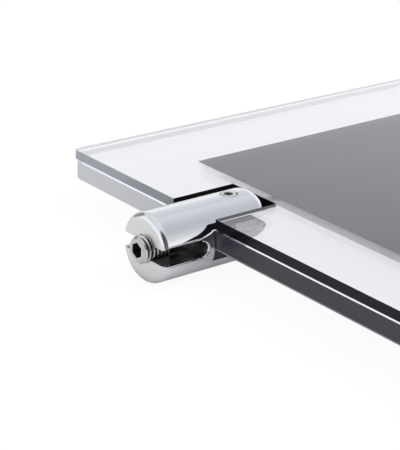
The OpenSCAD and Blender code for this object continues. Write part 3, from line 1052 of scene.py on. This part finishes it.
@dataclass
class ThreadedScrew:
    """A set screw with a cut thread, a key socket and a pivot hole.

    It stands on Z with its foot at 0 and its socket at the top.
    """

    major: float
    pitch: float
    length: float
    chamfer: float
    socket_af: float
    socket_depth: float
    pivot_d: float
    pivot_depth: float
    steps: int = 48

    # The thread's depth, the end of its root and the start and end of its crest, by pitch.
    DEPTH, ROOT_END, CREST_START, CREST_END = 0.6, 0.16, 0.5, 0.66
    # How far a tool stands out of the blank, and the blank's spare turns and foot, by pitch.
    SPARE, SPARE_TURNS, FOOT = 1.0, 3, 1.5
    # How close the turns' points meet, how exact a cut is, and a hair's breadth.
    CLOSE, EXACT, HAIR = 0.002, 0.0001, 0.02
    # The socket: its bottom's step, the depth of its drilled cone by the key's width, the
    # cone's tip by its own width, and a radius around it all by the key's width.
    STEP, CONE, TIP, AROUND = 0.08, 0.15, 0.2, 0.6

    def thread(self, name: str) -> Piece:
        """Cuts a helical thread on a long blank.

        Args:
            name: The piece's name.

        Returns:
            A closed threaded rod, as long as the screw.
        """
        p, r = self.pitch, self.major / 2
        root = r - self.DEPTH * p
        piece = traced(name, [(root, 0), (root, self.ROOT_END * p), (r, self.CREST_START * p),
                              (r, self.CREST_END * p), (root, p)])
        finish_with(piece, "SCREW", axis="Z", screw_offset=p * MM,
                    iterations=math.ceil(self.length / p) + self.SPARE_TURNS,
                    steps=self.steps, render_steps=self.steps, use_merge_vertices=True,
                    merge_threshold=self.CLOSE * MM, use_smooth_shade=False)
        edit_all(piece)
        bpy.ops.mesh.remove_doubles(threshold=self.CLOSE * MM)
        # Half a step more, so that no row of points lies in the cut.
        low = (self.FOOT + 0.5 / self.steps) * p
        for height, side in ((low, "clear_inner"), (low + self.length, "clear_outer")):
            bpy.ops.mesh.select_all(action="SELECT")
            bpy.ops.mesh.bisect(plane_co=(0, 0, height * MM), plane_no=(0, 0, 1),
                                use_fill=True, threshold=self.EXACT * MM, **{side: True})
        bpy.ops.mesh.select_all(action="SELECT")
        bpy.ops.transform.translate(value=(0, 0, -low * MM))
        bpy.ops.mesh.normals_make_consistent(inside=False)
        rest()
        return piece

    def envelope(self) -> Piece:
        """Builds the chamfered outline that trims the thread's ends."""
        piece = started(bpy.ops.mesh.primitive_cylinder_add, "outline", vertices=96,
                        radius=(self.major / 2 + self.HAIR) * MM, depth=self.length * MM,
                        location=(0, 0, self.length / 2 * MM))
        return rimmed(piece, self.chamfer, segments=1)

    def socket(self) -> Piece:
        """Builds the tool that cuts the key socket.

        Returns:
            The hexagonal tool, with a cone for the drilled bottom.
        """
        across = self.socket_af / math.cos(math.radians(30))
        middle = self.length - self.socket_depth / 2 + self.SPARE / 2
        piece = started(bpy.ops.mesh.primitive_cylinder_add, "key", vertices=6,
                        radius=across / 2 * MM, depth=(self.socket_depth + self.SPARE) * MM,
                        location=(0, 0, middle * MM))
        pick_faces(piece, lambda f: f.normal.z < -FACE_ON)
        sunk(piece, self.STEP, (0, 0, -self.CONE * self.socket_af), (self.TIP, self.TIP, 1))
        rest()
        return piece

    def pivot_hole(self) -> Piece:
        """Builds the tool that cuts the pivot hole."""
        return started(bpy.ops.mesh.primitive_cylinder_add, "drill", vertices=32,
                       radius=self.pivot_d / 2 * MM,
                       depth=(self.pivot_depth + self.SPARE) * MM,
                       location=(0, 0, (self.pivot_depth - self.SPARE) / 2 * MM))

    def in_socket(self, face: bpy.types.MeshPolygon) -> bool:
        """Tells whether a face is one of the key socket's.

        Args:
            face: A face of the screw.

        Returns:
            True inside the socket, from just below its mouth.
        """
        x, y, z = face.center
        bottom = self.length - self.socket_depth - self.SPARE
        deep = self.length * MM - self.HAIR * MM > z > bottom * MM
        return deep and math.hypot(x, y) < self.AROUND * self.socket_af * MM

    def build(self, name: str, metal: Finish, socket: Finish) -> Piece:
        """Builds the screw.

        Args:
            name: The screw's name.
            metal: The screw's finish, outside its socket.
            socket: The finish of its socket.

        Returns:
            The screw, standing on Z.
        """
        piece = self.thread(name)
        cut(piece, self.envelope(), "INTERSECT")
        cut(piece, self.socket())
        cut(piece, self.pivot_hole())
        painted(smoothed(piece, degrees=40.0), metal, socket)
        pick_faces(piece, self.in_socket)
        paint_picked()
        return piece


@dataclass
class Clamps:
    """The four clamps with their pads, screws and tips."""

    edge_y: float = 132.0
    cable_screw_end: float = -9.95
    panel_screw_y: float = 12.0
    panel_screw_z: float = 5.45
    cable_screw: ThreadedScrew = field(default_factory=lambda: ThreadedScrew(
        7.9, 1.25, 9.55, 0.8, 4.0, 4.0, 2.5, 2.05))
    panel_screw: ThreadedScrew = field(default_factory=lambda: ThreadedScrew(
        4.9, 0.8, 4.35, 0.4, 2.5, 2.0, 1.9, 0.85))

    def place(self, corner: Corner) -> Matrix:
        """Finds the place of a clamp's own frame, in which -Y points outwards.

        Args:
            corner: The clamp's corner.

        Returns:
            The place, in metres.
        """
        sx, sy = corner.value
        turn = 0 if sy < 0 else math.pi
        return (Matrix.Translation((sx * CLAMP_X * MM, sy * self.edge_y * MM, CLAMP_Z * MM))
                @ Matrix.Rotation(turn, 4, "Z"))

    def build(self) -> None:
        """Builds the screws, and dresses the bodies, pads and tips."""
        cable = self.cable_screw.build("cable_screw_model", Finishes.screw, Finishes.socket)
        panel = self.panel_screw.build("panel_screw_model", Finishes.small_screw,
                                       Finishes.small_socket)
        lay_down = (Matrix.Translation((0, self.cable_screw_end * MM, 0))
                    @ Matrix.Rotation(math.pi / 2, 4, "X"))
        stand = Matrix.Translation((0, self.panel_screw_y * MM, self.panel_screw_z * MM))
        for corner in Corner:
            place, label = self.place(corner), corner.label
            for model, kind, turn in ((cable, "cable_screw", lay_down),
                                      (panel, "panel_screw", stand)):
                node = f"{kind}_{label}"
                piece = copied(model, f"threaded_{node}", place @ turn)
                set_out(piece, node, node)
            dressed({f"clamp_body_{label}": Finishes.chrome,
                     f"cable_tip_{label}": Finishes.tip_steel,
                     f"panel_tip_{label}": Finishes.tip_nylon})
        bpy.data.objects.remove(cable)
        bpy.data.objects.remove(panel)
        dressed({"clamp_pads": Finishes.pad})


# Camera and studio


@dataclass
class PhotoCamera:
    """The camera, solved from the edges of the panel in the photograph."""

    place: Point = (0.18249, -0.37590, 0.17000)
    right: Point = (0.62322, 0.78115, 0.03744)
    up: Point = (-0.31625, 0.20794, 0.92561)
    ahead: Point = (-0.71525, 0.58870, -0.37663)
    lens: float = 120.58
    sensor: float = 36.0

    def build(self) -> None:
        """Adds the camera and makes it the scene's own."""
        data = bpy.data.cameras.new("photo_camera")
        data.sensor_fit, data.sensor_height, data.lens = "VERTICAL", self.sensor, self.lens
        data.clip_start, data.clip_end = 0.01, 50.0
        camera = bpy.data.objects.new("photo_camera", data)
        bpy.context.scene.collection.objects.link(camera)
        axes = Matrix((self.right, self.up, [-a for a in self.ahead])).transposed()
        camera.matrix_world = Matrix.Translation(self.place) @ axes.to_4x4()
        bpy.context.scene.camera = camera


@dataclass(frozen=True)
class RoomPatch:
    """A darker or lighter part of the room, as reflections show it.

    Attributes:
        toward: The direction of its middle.
        start: The cosine of the angle from its middle at which it starts.
        full: The cosine of the angle within which it is fully there.
        level: How light it is in the middle.
        around: How light the room is outside it.
    """

    toward: Point
    start: float
    full: float
    level: float
    around: float = 1.0

    def light(self, tree: Tree, ray: Socket) -> Node:
        """Adds how light the room is along a ray."""
        near = add_node(tree, "VectorMath:DOT_PRODUCT", [ray], {1: self.toward})
        return add_node(tree, "MapRange", {"Value": near.outputs["Value"]},
                        {"From Min": self.start, "From Max": self.full,
                         "To Min": self.around, "To Max": self.level})


@dataclass
class Studio:
    """A white table under soft light, in a pale room that darkens with height."""

    floor_size: float = 12.0
    world_light: float = 0.8
    lamp_place: Point = (0.4, 0.3, 1.6)
    lamp_size: float = 1.4
    lamp_power: float = 12.0

    # The room's colour by height, from the horizon up.
    SKY = {0.0: "#FFFFFF", 0.15: "#FFFFFF", 0.39: "#E4E5E8", 0.7: "#CDD0D6", 1.0: "#D8DADE"}
    # Dark behind the camera and on its left, a shade high on its right in a room that is
    # lighter elsewhere, and two faint shades ahead.
    PATCHES = (RoomPatch((0.715, -0.589, 0.377), 0.78, 0.9, 0.12),
               RoomPatch((-0.97, -0.1, 0.22), 0.9, 0.96, 0.3),
               RoomPatch((0.42, 0.57, 0.7), 0.8, 0.98, 0.92, 1.17),
               RoomPatch((-0.8, 0.6, 0.0), 0.968, 0.99, 0.78),
               RoomPatch((-0.65, 0.54, 0.54), 0.93, 0.985, 0.93))

    def build_floor(self) -> None:
        """Adds the table."""
        table = started(bpy.ops.mesh.primitive_plane_add, "studio_table", size=self.floor_size)
        table.data.materials.append(WhiteTable("white_table", "studio").material())

    def build_world(self) -> None:
        """Lights the room: brightest at the horizon, darker and bluer above."""
        world = bpy.data.worlds.new("studio_room")
        bpy.context.scene.world = world
        world.use_nodes = True
        tree = world.node_tree
        tree.nodes.clear()
        ray = add_node(tree, "TexCoord").outputs["Generated"]
        height = add_node(tree, "SeparateXYZ", [ray])
        sky = add_node(tree, "ValToRGB", [height.outputs["Z"]], {"stops": self.SKY})
        back = add_node(tree, "Background", [sky], {"Strength": self.world_light})
        light, *others = [patch.light(tree, ray) for patch in self.PATCHES]
        for other in others:
            light = add_node(tree, "Math:MULTIPLY", [light, other])
        seen = add_node(tree, "Background", [sky, light])
        plain = add_node(tree, "Background", settings={"Color": (1.0, 1.0, 1.0, 1.0)})
        path = add_node(tree, "LightPath")
        gloss = add_node(tree, "Math:MAXIMUM", [path.outputs["Is Glossy Ray"],
                                                path.outputs["Is Transmission Ray"]])
        mixed = add_node(tree, "MixShader", [gloss, back, seen])
        final = add_node(tree, "MixShader", [path.outputs["Is Camera Ray"], mixed, plain])
        add_node(tree, "OutputWorld", [final])

    def build_lamp(self) -> None:
        """Adds a soft square lamp that faces the frame and shows in no mirror."""
        data = bpy.data.lights.new("soft_box", "AREA")
        data.shape, data.size, data.energy = "SQUARE", self.lamp_size, self.lamp_power
        lamp = bpy.data.objects.new("soft_box", data)
        bpy.context.scene.collection.objects.link(lamp)
        turn = (-Vector(self.lamp_place)).to_track_quat("-Z", "Y")
        lamp.matrix_world = Matrix.Translation(self.lamp_place) @ turn.to_matrix().to_4x4()
        lamp.visible_glossy = False

    def build(self) -> None:
        """Builds the table, the room and the lamp."""
        self.build_floor()
        self.build_world()
        self.build_lamp()
        bpy.context.scene.view_settings.view_transform = "Standard"


def main() -> None:
    """Builds the frame's looks, then the camera and the studio."""
    logging.basicConfig(level=logging.INFO, format="%(message)s")
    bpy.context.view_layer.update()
    parts: tuple[tuple[str, Callable[[], None]], ...] = (
        ("camera", PhotoCamera().build),
        ("panel sheets", Panel().dress),
        ("magnets and discs", CoverMagnets().build),
        ("LED rows", LedLine().build),
        ("clamps and screws", Clamps().build),
        ("studio", Studio().build),
    )
    for label, make in parts:
        make()
        LOG.info("made the %s", label)


if __name__ == "__main__":
    main()
